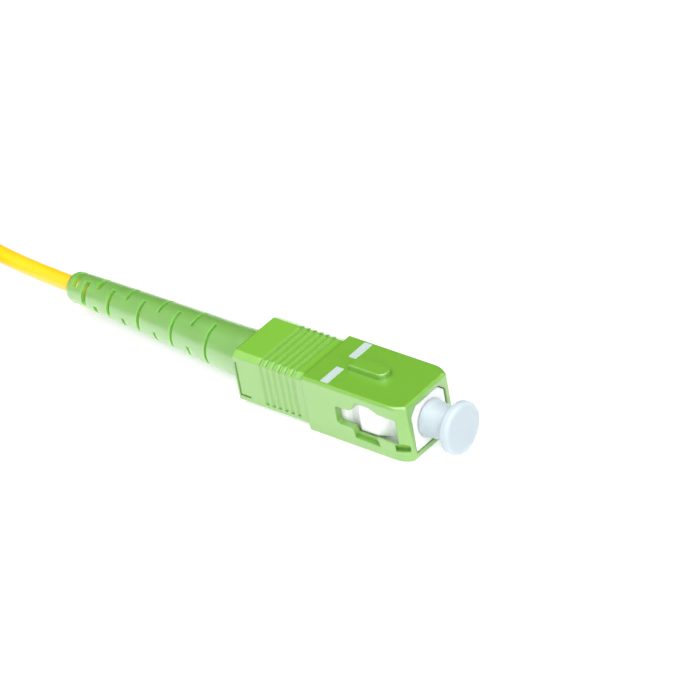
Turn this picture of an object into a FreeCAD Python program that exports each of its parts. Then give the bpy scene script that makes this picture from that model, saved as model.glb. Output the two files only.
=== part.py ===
import FreeCAD, Part
import math
import os
import Sketcher

# SC/APC fibre connector on a jacketed pigtail.
# Every sub-part is drawn in the plug's own frame: x = 0 at the front face of the
# coupling sleeve, +x towards the ferrule tip, z = 0 on the sleeve's underside.
# Placements then put the origin of the whole model under the middle of the sleeve's
# front section, on the face that the connector rests on.
os.makedirs("parts", exist_ok=True)
V = FreeCAD.Vector
doc = FreeCAD.newDocument("sc_apc_connector")

# ---------------------------------------------------------------- dimensions
DIM = [
    ("datum_shift", 7.0, "from the sleeve's front face back to the model origin"),
    ("axis_up", 3.7, "height of the optical axis above the underside"),
    # coupling sleeve
    ("sleeve_long", 24.5, "length of the coupling sleeve"),
    ("front_long", 14.0, "length of its full-size front section"),
    ("sleeve_wide", 9.0, "width of the front section"),
    ("sleeve_high", 7.4, "height of the front section"),
    ("rear_wide", 8.4, "width of the grip section"),
    ("rear_low", 0.3, "underside of the grip section"),
    ("rear_high", 7.1, "top of the grip section"),
    ("rear_cham_y", 0.8, "grip corner chamfer, across"),
    ("rear_cham_z", 0.45, "grip corner chamfer, up"),
    ("corner_rad", 3.15, "plan radius of the two front corners"),
    ("corner_back", 1.9, "where their curve leaves the flank"),
    ("face_ahead", 0.25, "front face of the sleeve, ahead of the datum"),
    ("crease_rad", 0.45, "rounding where the curve meets the front face"),
    ("edge_rad", 0.4, "rounding of the long edges"),
    ("cav_wide", 7.24, "cavity width behind the front bridge"),
    ("mouth_wide", 6.06, "width of the mouth at the front"),
    ("cav_low", 0.75, "cavity floor"),
    ("cav_high", 6.65, "cavity ceiling"),
    ("bridge_long", 1.0, "length of the bridge in front of the side window"),
    ("throat_rad", 3.12, "counterbore for the boot at the back"),
    ("throat_long", 3.0, "its depth"),
    ("key_back", -9.9, "rear end of the key"),
    ("key_front", -5.0, "front end of the key"),
    ("key_wide", 1.84, "key width"),
    ("key_high", 0.72, "key height above the sleeve"),
    ("rib_first", -20.35, "first grip groove"),
    ("rib_pitch", 0.93, "grip groove spacing"),
    ("rib_count", 6, "grip grooves"),
    ("rib_deep", 0.17, "grip groove depth on the flanks"),
    ("rib_top_deep", 0.21, "grip groove depth across the top"),
    ("rib_half", 0.29, "half the groove's width at the surface"),
    ("rib_floor", 0.10, "half the groove's width at its floor"),
    # plug frame
    ("frame_front", 0.2, "front face of the plug frame"),
    ("frame_wide", 5.86, "frame width"),
    ("frame_low", 0.82, "frame underside"),
    ("frame_high", 6.58, "frame top"),
    ("frame_cham", 0.98, "key-side corner chamfer"),
    ("collar_back", -15.2, "rear face of the frame's full-size part"),
    ("frame_back", -19.5, "rear end of the frame"),
    ("tail_half", 2.55, "half height of the frame's tail"),
    ("ear_wide", 7.10, "width across the latch ears"),
    ("ear_half", 1.85, "half height of the ears"),
    ("front_bore", 2.12, "radius of the frame's front cavity"),
    ("rear_bore", 2.45, "radius of the frame's rear bore"),
    ("seat_bore", 1.45, "radius of the hole in the seat wall"),
    ("seat_front", -6.6, "front of the seat wall"),
    ("seat_back", -7.6, "rear of the seat wall"),
    # ferrule and its holder
    ("ferrule_rad", 1.25, "ferrule radius"),
    ("ferrule_tip", 3.4, "ferrule end"),
    ("ferrule_back", -9.0, "ferrule rear end"),
    ("flange_rad", 2.15, "holder head radius"),
    ("fibre_rad", 0.0625, "cladding radius"),
    # cable
    ("jacket_rad", 1.05, "cable jacket radius"),
    ("jacket_bore", 0.72, "jacket inner radius"),
    ("buffer_rad", 0.45, "tight buffer radius"),
    ("jacket_end", -25.4, "where the jacket is cut"),
    # boot
    ("boot_front", -23.6, "front end of the boot"),
    ("boot_bend_at", -24.5, "where the boot begins to bend"),
    ("boot_tip", -53.85, "rear end of the boot"),
    ("boot_rad", 2.98, "boot radius at the housing"),
    ("boot_tip_rad", 1.86, "boot radius at its tip"),
    ("bend_rad", 91.0, "radius of the short bend behind the housing"),
    ("bend_long", 5.0, "length of that bend"),
    ("back_rad", 1000.0, "radius of the slight bend back beyond it"),
    ("slot_first", -30.3, "first flex slot"),
    ("slot_wide", 0.45, "flex slot width near the housing"),
    # dust cap
    ("cap_back", -3.0, "open end of the dust cap"),
    ("cap_shoulder", 0.26, "shoulder that stops at the frame"),
    ("cap_neck", 2.24, "neck radius at the shoulder"),
    ("cap_waist", 1.90, "neck radius at the flange"),
    ("cap_inner", 1.80, "radius of the part inside the frame"),
    ("cap_bore", 1.28, "bore over the ferrule"),
    ("cap_flange", 3.05, "flange radius"),
    ("cap_front", 4.88, "front face of the cap"),
    ("cap_thick", 1.25, "flange thickness"),
]
sheet = doc.addObject("Spreadsheet::Sheet", "Dimensions")
D = {}
for n, (name, value, words) in enumerate(DIM, start=1):
    sheet.set("A%d" % n, name)
    sheet.set("B%d" % n, repr(float(value)) if name != "rib_count" else "6")
    sheet.set("C%d" % n, words)
    sheet.setAlias("B%d" % n, name)
    D[name] = float(value)
doc.recompute()


def num(e):
    """Value of a number or of an expression in the sheet's aliases."""
    if isinstance(e, (int, float)):
        return float(e)
    return float(work_out(e))


def work_out(e):
    # only sums and products of aliases and numbers are used
    total, sign, term = 0.0, 1.0, None
    for tok in e.replace("-", " - ").replace("+", " + ").split():
        if tok == "+":
            total, sign, term = total + (sign * term if term is not None else 0.0), 1.0, None
        elif tok == "-":
            total, sign, term = total + (sign * term if term is not None else 0.0), -1.0, None
        else:
            v = 1.0
            for f in tok.split("*"):
                g = f.split("/")
                x = D[g[0]] if g[0] in D else float(g[0])
                for h in g[1:]:
                    x /= D[h] if h in D else float(h)
                v *= x
            term = v
    return total + (sign * term if term is not None else 0.0)


def cells(e):
    """The same expression, with the names of the sheet cells."""
    out = e
    for name in sorted(D, key=len, reverse=True):
        out = out.replace(name, "Dimensions.\x00%d\x00" % list(D).index(name))
    for i, name in enumerate(D):
        out = out.replace("\x00%d\x00" % i, name)
    return out


def bind(obj, prop, e):
    if isinstance(e, str):
        obj.setExpression(prop, cells(e))


def body(label):
    b = doc.addObject("PartDesign::Body", label)
    b.Label = label
    return b


def plane(b, role):
    return [o for o in b.Origin.OriginFeatures if o.Role == role][0]


def sketch(b, name, role, pts, offset=0.0, more=()):
    """A closed polygon, each corner placed by two dimensions that follow the sheet."""
    s = b.newObject("Sketcher::SketchObject", name)
    s.AttachmentSupport = [(plane(b, role), "")]
    s.MapMode = "FlatFace"
    if isinstance(offset, str):
        s.AttachmentOffset = FreeCAD.Placement(V(0, 0, num(offset)), FreeCAD.Rotation())
        s.setExpression("AttachmentOffset.Base.z", cells(offset))
    elif offset:
        s.AttachmentOffset = FreeCAD.Placement(V(0, 0, offset), FreeCAD.Rotation())
    for poly in (pts,) + tuple(more):
        first = s.GeometryCount
        k = len(poly)
        xy = [(num(a), num(c)) for a, c in poly]
        for i in range(k):
            p, q = xy[i], xy[(i + 1) % k]
            s.addGeometry(Part.LineSegment(V(p[0], p[1], 0), V(q[0], q[1], 0)), False)
        for i in range(k):
            s.addConstraint(
                Sketcher.Constraint("Coincident", first + i, 2, first + (i + 1) % k, 1)
            )
        for i in range(k):
            for kind, e, v in (
                ("DistanceX", poly[i][0], xy[i][0]),
                ("DistanceY", poly[i][1], xy[i][1]),
            ):
                if abs(v) < 1e-9:
                    s.addConstraint(
                        Sketcher.Constraint(
                            "PointOnObject", first + i, 1, -2 if kind == "DistanceX" else -1
                        )
                    )
                    continue
                if v > 0:
                    n = s.addConstraint(Sketcher.Constraint(kind, -1, 1, first + i, 1, v))
                else:
                    n = s.addConstraint(Sketcher.Constraint(kind, first + i, 1, -1, 1, -v))
                if isinstance(e, str):
                    s.setExpression(
                        "Constraints[%d]" % n, cells(e) if v > 0 else "-1 * (" + cells(e) + ")"
                    )
    return s


def grow(b, name, s, length, kind="PartDesign::Pad", mode="One side", reverse=False, cuts=True):
    before = b.Shape.Volume if b.Tip else 0.0
    f = b.newObject(kind, name)
    f.Profile = s
    f.SideType = mode
    f.Length = num(length)
    bind(f, "Length", length)
    f.Reversed = reverse
    doc.recompute()
    after = b.Shape.Volume
    if kind.endswith("Pocket"):
        assert after < before - 1e-4, (name, before, after)
    else:
        assert after > before + 1e-4, (name, before, after)
    return f


def turn(b, name, pts, kind="PartDesign::Revolution"):
    """A profile drawn above the x axis and turned about it."""
    before = b.Shape.Volume if b.Tip else 0.0
    s = sketch(b, name + "_profile", "XY_Plane", pts)
    f = b.newObject(kind, name)
    f.Profile = s
    f.ReferenceAxis = (s, ["H_Axis"])
    f.Angle = 360.0
    doc.recompute()
    after = b.Shape.Volume
    assert (after > before + 1e-5) if kind.endswith("Revolution") else (after < before - 1e-5), (name, before, after)
    return f


def edges_where(shape, test):
    out = []
    for i, e in enumerate(shape.Edges, start=1):
        pts = [e.valueAt(e.FirstParameter + t * (e.LastParameter - e.FirstParameter)) for t in (0.0, 0.5, 1.0)]
        if all(test(p) for p in pts):
            out.append("Edge%d" % i)
    return out


def ease(b, name, test, size, kind="PartDesign::Fillet"):
    base = b.Tip
    names = edges_where(base.Shape, test)
    assert names, name
    f = b.newObject(kind, name)
    f.Base = (base, names)
    if kind.endswith("Fillet"):
        f.Radius = num(size)
        bind(f, "Radius", size)
    else:
        f.Size = num(size)
        bind(f, "Size", size)
    doc.recompute()
    assert not f.Shape.isNull() and f.Shape.isValid(), name
    return f


def near(a, c, tol=1e-3):
    return abs(a - c) < tol


NODES = {}


def place(obj, label, up="0"):
    obj.Placement = FreeCAD.Placement(V(D["datum_shift"], 0, num(up) if isinstance(up, str) else up), FreeCAD.Rotation())
    obj.setExpression("Placement.Base.x", "Dimensions.datum_shift")
    if up != "0":
        obj.setExpression("Placement.Base.z", cells(up))
    NODES[label] = obj


# ---------------------------------------------------------------- coupling sleeve
b = body("coupling_sleeve")
s = sketch(b, "sleeve_section", "YZ_Plane", [
    ("-0.5*sleeve_wide", 0), ("0.5*sleeve_wide", 0),
    ("0.5*sleeve_wide", "sleeve_high"), ("-0.5*sleeve_wide", "sleeve_high")], offset="corner_rad-corner_back")
grow(b, "sleeve_front", s, "front_long+corner_rad-corner_back", reverse=True)
ease(b, "front_corners", lambda p: near(p.x, D["corner_rad"] - D["corner_back"]) and near(abs(p.y), D["sleeve_wide"] / 2), "corner_rad")
s = sketch(b, "front_trim", "YZ_Plane", [
    ("-0.5*sleeve_wide-1", -1), ("0.5*sleeve_wide+1", -1),
    ("0.5*sleeve_wide+1", "sleeve_high+1"), ("-0.5*sleeve_wide-1", "sleeve_high+1")], offset="face_ahead")
grow(b, "front_face", s, 3.0, "PartDesign::Pocket", reverse=True)
crease = D["sleeve_wide"] / 2 - D["corner_rad"] + (D["corner_rad"] ** 2 - (D["face_ahead"] + D["corner_back"]) ** 2) ** 0.5
ease(b, "front_creases", lambda p: near(p.x, D["face_ahead"]) and near(abs(p.y), crease, 0.01), "crease_rad")
ease(b, "top_edges", lambda p: near(p.z, D["sleeve_high"]) and not near(p.x, -D["front_long"]) or
     (near(p.z, D["sleeve_high"]) and near(abs(p.y), D["sleeve_wide"] / 2)), "edge_rad")
ease(b, "bottom_edges", lambda p: near(p.z, 0) and not near(p.x, -D["front_long"]) or
     (near(p.z, 0) and near(abs(p.y), D["sleeve_wide"] / 2)), "edge_rad-0.1")
h = "0.5*rear_wide"
s = sketch(b, "grip_section", "YZ_Plane", [
    ("-0.5*rear_wide", "rear_low+rear_cham_z"), ("-0.5*rear_wide+rear_cham_y", "rear_low"),
    ("0.5*rear_wide-rear_cham_y", "rear_low"), ("0.5*rear_wide", "rear_low+rear_cham_z"),
    ("0.5*rear_wide", "rear_high-rear_cham_z"), ("0.5*rear_wide-rear_cham_y", "rear_high"),
    ("-0.5*rear_wide+rear_cham_y", "rear_high"), ("-0.5*rear_wide", "rear_high-rear_cham_z")],
    offset="-1*front_long")
grow(b, "grip", s, "sleeve_long-front_long", reverse=True)
# key on the top face
s = sketch(b, "key_plan", "XY_Plane", [
    ("key_back", "-0.5*key_wide"), ("key_front", "-0.5*key_wide"),
    ("key_front", "0.5*key_wide"), ("key_back", "0.5*key_wide")], offset="sleeve_high-0.1")
grow(b, "key", s, "key_high+0.1")
kt = D["sleeve_high"] + D["key_high"]
ease(b, "key_nose", lambda p: near(p.x, D["key_front"]) and near(abs(p.y), D["key_wide"] / 2) and p.z > D["sleeve_high"] - 0.01, "0.34*key_wide+0.2")
ease(b, "key_rounding", lambda p: near(p.z, kt) and p.x < 0, "0.16", "PartDesign::Fillet")
# cavity
s = sketch(b, "cavity_section", "YZ_Plane", [
    ("-0.5*cav_wide+0.5", "cav_low"), ("0.5*cav_wide-0.5", "cav_low"),
    ("0.5*cav_wide", "cav_low+0.5"), ("0.5*cav_wide", "cav_high-0.5"),
    ("0.5*cav_wide-0.5", "cav_high"), ("-0.5*cav_wide+0.5", "cav_high"),
    ("-0.5*cav_wide", "cav_high-0.5"), ("-0.5*cav_wide", "cav_low+0.5")], offset="-1*bridge_long")
grow(b, "cavity", s, "sleeve_long", "PartDesign::Pocket", reverse=False)
s = sketch(b, "mouth_section", "YZ_Plane", [
    ("-0.5*mouth_wide", "cav_low"), ("0.5*mouth_wide", "cav_low"),
    ("0.5*mouth_wide", "cav_high-frame_cham"), ("0.5*mouth_wide-frame_cham", "cav_high"),
    ("-0.5*mouth_wide+frame_cham", "cav_high"), ("-0.5*mouth_wide", "cav_high-frame_cham")],
    offset=0.5)
grow(b, "mouth", s, 3.0, "PartDesign::Pocket", reverse=False)
# side windows, cut through both walls at once
A = "axis_up"
s = sketch(b, "window_outline", "XZ_Plane", [
    (-9.65, "axis_up-1.1"), (-7.55, "axis_up-1.1"), (-7.25, "axis_up-1.95"), (-4.25, "axis_up-1.95"),
    (-4.05, "axis_up-1.25"), ("-1*bridge_long", "axis_up-1.25"), ("-1*bridge_long", "axis_up+2.05"),
    (-3.4, "axis_up+2.12"), (-4.6, "axis_up+2.65"), (-6.42, "axis_up+2.65"), (-6.78, "axis_up+2.2"),
    (-7.05, "axis_up+1.65"), (-7.4, "axis_up+1.36"), (-7.85, "axis_up+1.26"), (-9.65, "axis_up+1.2")])
grow(b, "windows", s, 12.0, "PartDesign::Pocket", mode="Symmetric")
ease(b, "window_corners", lambda p: abs(p.y) > 3.5 and abs(p.y) < 4.6 and (
     near(p.x, -9.65) and (near(p.z, D["axis_up"] - 1.1) or near(p.z, D["axis_up"] + 1.2))), 0.4)
# blind recess below the window's middle, in both flanks
recess = [(-7.25, "axis_up-0.9"), (-7.25, "axis_up-2.35"), (-3.72, "axis_up-2.45"), (-4.12, "axis_up-0.9")]
s = sketch(b, "recess_near", "XZ_Plane", recess, offset="0.5*sleeve_wide")
grow(b, "recess_in_near", s, 0.5, "PartDesign::Pocket")
s = sketch(b, "recess_far", "XZ_Plane", recess, offset="-0.5*sleeve_wide")
grow(b, "recess_in_far", s, 0.5, "PartDesign::Pocket", reverse=True)
# the sill in front of it falls away inwards
sill = [(4.26, "axis_up-1.25"), (3.4, "axis_up-2.2"), (3.4, "axis_up-0.9"), (4.26, "axis_up-0.9")]
s = sketch(b, "sill_slope", "YZ_Plane", sill, offset="-1*bridge_long", more=([(-4.26, "axis_up-1.25"), (-3.4, "axis_up-2.2"), (-3.4, "axis_up-0.9"), (-4.26, "axis_up-0.9")],))
grow(b, "sills", s, 3.15, "PartDesign::Pocket")
# blind notch at the foot of each front pillar: a flat ledge, and a face that leans in to meet it
for side, name in ((-1, "notch_near"), (1, "notch_far")):
    s = sketch(b, name + "_section", "YZ_Plane", [
        (side * -0.5, "axis_up-2.28"), (side * 0.7, "axis_up-2.28"), (side * 0.7, "axis_up-1.1"), (side * 0.12, "axis_up-1.1")])
    s.AttachmentOffset = FreeCAD.Placement(V(side * 4.157, 0, -0.70), FreeCAD.Rotation(V(0, 1, 0), side * -21.6))
    doc.recompute()
    grow(b, name, s, 1.72, "PartDesign::Pocket", mode="Symmetric")
# counterbore that lets the sleeve slide back over the boot
turn(b, "throat", [
    ("-1*sleeve_long-0.5", 0), ("-1*sleeve_long-0.5", "throat_rad"),
    ("-1*sleeve_long+throat_long", "throat_rad"), ("-1*sleeve_long+throat_long", 0)], "PartDesign::Groove")
b.Tip.Profile[0].AttachmentOffset = FreeCAD.Placement(V(0, 0, D["axis_up"]), FreeCAD.Rotation())
b.Tip.Profile[0].setExpression("AttachmentOffset.Base.z", "Dimensions.axis_up")
doc.recompute()
# inner ledges that stop the sleeve sliding off forwards
s = sketch(b, "ledge_outline", "XZ_Plane", [
    ("collar_back-1.2", "axis_up+tail_half+0.07"), ("collar_back-0.12", "axis_up+tail_half+0.07"),
    ("collar_back-0.12", "cav_high+0.1"), ("collar_back-1.2", "cav_high+0.1")],
    more=([("collar_back-1.2", "cav_low-0.1"), ("collar_back-0.12", "cav_low-0.1"),
           ("collar_back-0.12", "axis_up-tail_half-0.07"), ("collar_back-1.2", "axis_up-tail_half-0.07")],))
grow(b, "ledges", s, 3.6, "PartDesign::Pad", mode="Symmetric")
# grip grooves: notches across the top and bottom, then down both sides
x0 = D["rib_first"]


def groove(face, out, level, sign):
    a = "rib_first"
    if face == "XZ":
        return [(a + "-rib_half", level + ("+0.3" if sign > 0 else "-0.3")), (a + "+rib_half", level + ("+0.3" if sign > 0 else "-0.3")),
                (a + "+rib_half", level), (a + "+rib_floor", level + ("-rib_top_deep" if sign > 0 else "+rib_deep")),
                (a + "-rib_floor", level + ("-rib_top_deep" if sign > 0 else "+rib_deep")), (a + "-rib_half", level)]
    return [(a + "-rib_half", level + ("+0.3" if sign > 0 else "-0.3")), (a + "+rib_half", level + ("+0.3" if sign > 0 else "-0.3")),
            (a + "+rib_half", level), (a + "+rib_floor", level + ("-rib_deep" if sign > 0 else "+rib_deep")),
            (a + "-rib_floor", level + ("-rib_deep" if sign > 0 else "+rib_deep")), (a + "-rib_half", level)]


def pattern(name, feature):
    f = b.newObject("PartDesign::LinearPattern", name)
    f.Originals = [feature]
    ax = [o for o in b.Origin.OriginFeatures if o.Role == "X_Axis"][0]
    f.Direction = (ax, [""])
    f.Length = D["rib_pitch"] * 5
    f.setExpression("Length", "Dimensions.rib_pitch * (Dimensions.rib_count - 1)")
    f.Occurrences = 6
    f.setExpression("Occurrences", "Dimensions.rib_count")
    b.Tip = f
    doc.recompute()
    return f


s = sketch(b, "groove_top", "XZ_Plane", groove("XZ", 1, "rear_high", 1), more=(groove("XZ", 1, "rear_low", -1),))
g = grow(b, "groove_across", s, 12.0, "PartDesign::Pocket", mode="Symmetric")
v0 = b.Shape.Volume
pattern("grooves_across", g)
assert b.Shape.Volume < v0 - 0.1
s = sketch(b, "groove_side", "XY_Plane", groove("XY", 1, "0.5*rear_wide", 1), offset="axis_up+0.325", more=(groove("XY", 1, "-0.5*rear_wide", -1),))
g = grow(b, "groove_down", s, "2*axis_up-1.75", "PartDesign::Pocket", mode="Symmetric")
v0 = b.Shape.Volume
pattern("grooves_down", g)
assert b.Shape.Volume < v0 - 0.1
# the same grooves carried round the chamfered corner, so that each runs from the top into the flank
s = sketch(b, "groove_round", "YZ_Plane", [
    ("0.5*rear_wide-0.098", "rear_high-0.624"), ("0.5*rear_wide+0.202", "rear_high-0.12"),
    ("0.5*rear_wide-0.6", "rear_high+0.33"), ("0.5*rear_wide-0.898", "rear_high-0.174")],
    offset="rib_first", more=([
    ("-0.5*rear_wide+0.098", "rear_high-0.624"), ("-0.5*rear_wide+0.898", "rear_high-0.174"),
    ("-0.5*rear_wide+0.6", "rear_high+0.33"), ("-0.5*rear_wide-0.202", "rear_high-0.12")],))
g = grow(b, "groove_corner", s, 0.4, "PartDesign::Pocket", mode="Symmetric")
v0 = b.Shape.Volume
pattern("grooves_corner", g)
assert b.Shape.Volume < v0 - 0.02
# shallow L-shaped line moulded in both flanks at the back
s = sketch(b, "flank_line_near", "XZ_Plane", [
    (-24.3, 1.3), (-22.7, 1.3), (-22.7, 1.55), (-24.02, 1.55), (-24.02, 5.9), (-24.3, 5.9)], offset="0.5*rear_wide")
grow(b, "flank_near", s, 0.14, "PartDesign::Pocket")
s = sketch(b, "flank_line_far", "XZ_Plane", [
    (-24.3, 1.3), (-22.7, 1.3), (-22.7, 1.55), (-24.02, 1.55), (-24.02, 5.9), (-24.3, 5.9)], offset="-0.5*rear_wide")
grow(b, "flank_far", s, 0.14, "PartDesign::Pocket", reverse=True)
place(b, "coupling_sleeve")

# ---------------------------------------------------------------- plug frame
b = body("plug_frame")
s = sketch(b, "nose_section", "YZ_Plane", [
    ("-0.5*frame_wide", "frame_low"), ("0.5*frame_wide", "frame_low"),
    ("0.5*frame_wide", "frame_high-frame_cham"), ("0.5*frame_wide-frame_cham", "frame_high"),
    ("-0.5*frame_wide+frame_cham", "frame_high"), ("-0.5*frame_wide", "frame_high-frame_cham")],
    offset="frame_front")
grow(b, "nose", s, "frame_front-collar_back", reverse=True)
s = sketch(b, "tail_section", "YZ_Plane", [
    ("-0.5*frame_wide", "axis_up-tail_half"), ("0.5*frame_wide", "axis_up-tail_half"),
    ("0.5*frame_wide", "axis_up+tail_half"), ("-0.5*frame_wide", "axis_up+tail_half")],
    offset="collar_back")
grow(b, "tail", s, "collar_back-frame_back", reverse=True)
# latch ears: a ramp at the front, a shoulder, a notch for the adapter's hook, and the flank behind it
ear = [(-13.2, "0.5*frame_wide-0.3"), (-13.2, "0.5*ear_wide"), (-8.9, "0.5*ear_wide"), (-8.5, "0.5*frame_wide+0.1"),
       (-7.05, "0.5*frame_wide+0.1"), (-7.05, "0.5*ear_wide"), (-4.7, "0.5*ear_wide"), (-3.1, "0.5*frame_wide"), (-3.1, "0.5*frame_wide-0.3")]
ear2 = [(a, c.replace("0.5*", "-0.5*").replace("-0.3", "+0.3").replace("+0.1", "-0.1") if "0.3" in c or "0.1" in c else c.replace("0.5*", "-0.5*")) for a, c in ear]
s = sketch(b, "ear_plan", "XY_Plane", ear, offset="axis_up", more=(ear2,))
grow(b, "ears", s, "2*ear_half", mode="Symmetric")
doc.recompute()


def groove_cut(name, pts):
    turn(b, name, pts, "PartDesign::Groove")
    b.Tip.Profile[0].AttachmentOffset = FreeCAD.Placement(V(0, 0, D["axis_up"]), FreeCAD.Rotation())
    b.Tip.Profile[0].setExpression("AttachmentOffset.Base.z", "Dimensions.axis_up")
    doc.recompute()


groove_cut("bores", [
    ("frame_front+0.5", 0), ("frame_front+0.5", "front_bore+0.57"), ("frame_front", "front_bore+0.07"), ("frame_front-0.07", "front_bore"),
    ("seat_front", "front_bore"), ("seat_front", "seat_bore"),
    ("seat_back", "seat_bore"), ("seat_back", "rear_bore"), (-16.8, "rear_bore"), (-16.8, 2.6),
    (-18.2, 2.6), (-18.2, "rear_bore"), ("frame_back-0.5", "rear_bore"), ("frame_back-0.5", 0)])
ease(b, "nose_edges", lambda p: near(p.x, D["frame_front"]) and (abs(p.y) > 2.6 or abs(p.z - 3.7) > 2.6), 0.12, "PartDesign::Chamfer")
place(b, "plug_frame")

# ---------------------------------------------------------------- ferrule group
b = body("ferrule")
turn(b, "rod", [
    ("ferrule_back", 0.09), ("ferrule_back", 0.5), ("ferrule_back+0.1", "ferrule_rad"),
    ("ferrule_tip-0.55", "ferrule_rad"), ("ferrule_tip-0.2", 0.85), ("ferrule_tip", 0.85), ("ferrule_tip", 0.09)])
# end face ground 8 degrees off square
s = sketch(b, "slant", "XZ_Plane", [("ferrule_tip-0.24", 1.6), ("ferrule_tip+0.212", -1.6), ("ferrule_tip+1", -1.6), ("ferrule_tip+1", 1.6)])
grow(b, "angled_face", s, 6.0, "PartDesign::Pocket", mode="Symmetric")
place(b, "ferrule", "axis_up")

b = body("ferrule_flange")
turn(b, "holder", [
    (-13.45, 0.55), (-13.45, 0.94), (-10.3, 0.94), (-10.3, 1.35), (-9.2, 1.35), (-9.2, "flange_rad"),
    (-7.95, "flange_rad"), ("seat_back-0.02", "flange_rad-0.35"), ("seat_back-0.02", "ferrule_rad"),
    ("ferrule_back", "ferrule_rad"), ("ferrule_back", 0.55)])
s = sketch(b, "key_slot", "YZ_Plane", [(-0.35, 1.7), (0.35, 1.7), (0.35, 3), (-0.35, 3)], offset=-7.0)
g = grow(b, "slot", s, 3.0, "PartDesign::Pocket", reverse=False)
f = b.newObject("PartDesign::PolarPattern", "slots")
f.Originals = [g]
f.Axis = ([o for o in b.Origin.OriginFeatures if o.Role == "X_Axis"][0], [""])
f.Angle = 360
f.Occurrences = 4
b.Tip = f
doc.recompute()
place(b, "ferrule_flange", "axis_up")

b = body("optical_fibre")
turn(b, "glass", [(-10.55, 0), (-10.55, "fibre_rad"), ("ferrule_tip-0.02", "fibre_rad"), ("ferrule_tip-0.02", 0)])
place(b, "optical_fibre", "axis_up")

# coil spring between the holder's head and the back post
coils, wire, mean = 5.0, 0.2, 1.72
h0, h1 = -14.26, -9.42
helix = Part.makeHelix((h1 - h0) / coils, h1 - h0, mean)
prof = Part.Wire([Part.makeCircle(wire, V(mean, 0, 0), V(0, 1, 0))])
coil = Part.Wire(helix.Edges).makePipeShell([prof], True, True)
if coil.Volume < 0:
    coil.reverse()
m = FreeCAD.Placement(V(h0, 0, 0), FreeCAD.Rotation(V(0, 1, 0), 90)).toMatrix()
coil = coil.transformed(m, True)
f = doc.addObject("Part::Feature", "ferrule_spring")
f.Label = "ferrule_spring"
f.Shape = coil
place(f, "ferrule_spring", "axis_up")

# ---------------------------------------------------------------- back post, tube, crimp
b = body("back_post")
turn(b, "post", [
    (-14.5, 1.0), (-14.5, 2.15), (-14.7, 2.38), (-16.95, 2.38), (-17.1, 2.52), (-18.05, 2.52), (-18.05, 2.38),
    ("frame_back-0.04", 2.38), ("frame_back-0.04", 2.6), (-20.3, 2.6), (-20.3, 1.68), (-20.8, 1.58), (-21.1, 1.68),
    (-21.6, 1.58), (-21.9, 1.68), (-22.4, 1.58), (-22.7, 1.68), (-23.2, 1.58), (-23.5, 1.68), (-24.6, 1.68), (-24.6, 1.0)])
place(b, "back_post", "axis_up")

b = body("inner_tube")
turn(b, "guide", [(-25.2, 0.52), (-25.2, 0.8), (-24.75, 0.95), (-14.6, 0.95), (-14.6, 0.52)])
place(b, "inner_tube", "axis_up")

b = body("aramid_yarn")
turn(b, "yarn", [(-25.3, 0.98), (-25.3, 1.1), (-24.7, 1.72), (-20.9, 1.72), (-20.9, 1.8), (-24.8, 1.8), (-25.39, 1.2), (-25.39, 0.98)])
place(b, "aramid_yarn", "axis_up")

b = body("crimp_ring")
turn(b, "ring", [(-20.7, 1.82), (-20.7, 2.1), (-24.9, 2.1), (-25.5, 1.4), (-28.4, 1.4), (-28.4, 1.08), (-25.5, 1.08), (-24.85, 1.82)])
s = sketch(b, "crimp_flat", "YZ_Plane", [(3.0, 1.98), (3.0, 3.0), (-3.0, 3.0), (-3.0, 1.98)], offset=-21.6)
g = grow(b, "flat", s, 2.4, "PartDesign::Pocket", reverse=False)
f = b.newObject("PartDesign::PolarPattern", "flats")
f.Originals = [g]
f.Axis = ([o for o in b.Origin.OriginFeatures if o.Role == "X_Axis"][0], [""])
f.Angle = 360
f.Occurrences = 6
b.Tip = f
doc.recompute()
place(b, "crimp_ring", "axis_up")

# ---------------------------------------------------------------- dust cap
b = body("dust_cap")
turn(b, "moulding", [
    ("cap_back", "cap_bore+0.12"), ("cap_back", "cap_inner"), ("cap_shoulder", "cap_inner"), ("cap_shoulder", "cap_neck"),
    (0.9, "cap_neck-0.13"), (2.3, "cap_waist+0.09"), ("cap_front-cap_thick-0.25", "cap_waist"), ("cap_front-cap_thick", "cap_waist+0.2"),
    ("cap_front-cap_thick", "cap_flange-0.3"), ("cap_front-cap_thick+0.3", "cap_flange"), ("cap_front-0.35", "cap_flange"),
    ("cap_front-0.1", "cap_flange-0.12"), ("cap_front", "cap_flange-0.4"), ("cap_front", 0), ("ferrule_tip+0.6", 0),
    ("ferrule_tip+0.6", "cap_bore-0.3"), ("ferrule_tip+0.3", "cap_bore"), ("cap_back+0.2", "cap_bore")])
place(b, "dust_cap", "axis_up")

# ---------------------------------------------------------------- boot and the cable in it
R = D["bend_rad"]
L1 = D["bend_long"]
R2 = D["back_rad"]
XB = D["boot_bend_at"]


def on_bend(x):
    """Point and backward direction on the bent axis of the boot, at length along it."""
    run = XB - x
    if run <= 0:
        return V(x, 0, 0), V(-1, 0, 0)
    a = min(run, L1) / R
    if run <= L1:
        return V(XB - R * math.sin(a), R * (1 - math.cos(a)), 0), V(-math.cos(a), math.sin(a), 0)
    c = bend_back_centre()
    a = a - (run - L1) / R2
    return V(c.x + R2 * math.sin(a), c.y + R2 * math.cos(a), 0), V(-math.cos(a), math.sin(a), 0)


def bend_back_centre():
    a = L1 / R
    return V(XB - (R + R2) * math.sin(a), R - (R + R2) * math.cos(a), 0)


def boot_radius(x):
    if x > -25.6:
        return D["boot_rad"]
    t = (x + 25.6) / (D["boot_tip"] + 25.6)
    return D["boot_rad"] + (D["boot_tip_rad"] - D["boot_rad"]) * t


def hoop(x, r):
    p, d = on_bend(x)
    return Part.Wire([Part.makeCircle(r, p, d)])


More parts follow.
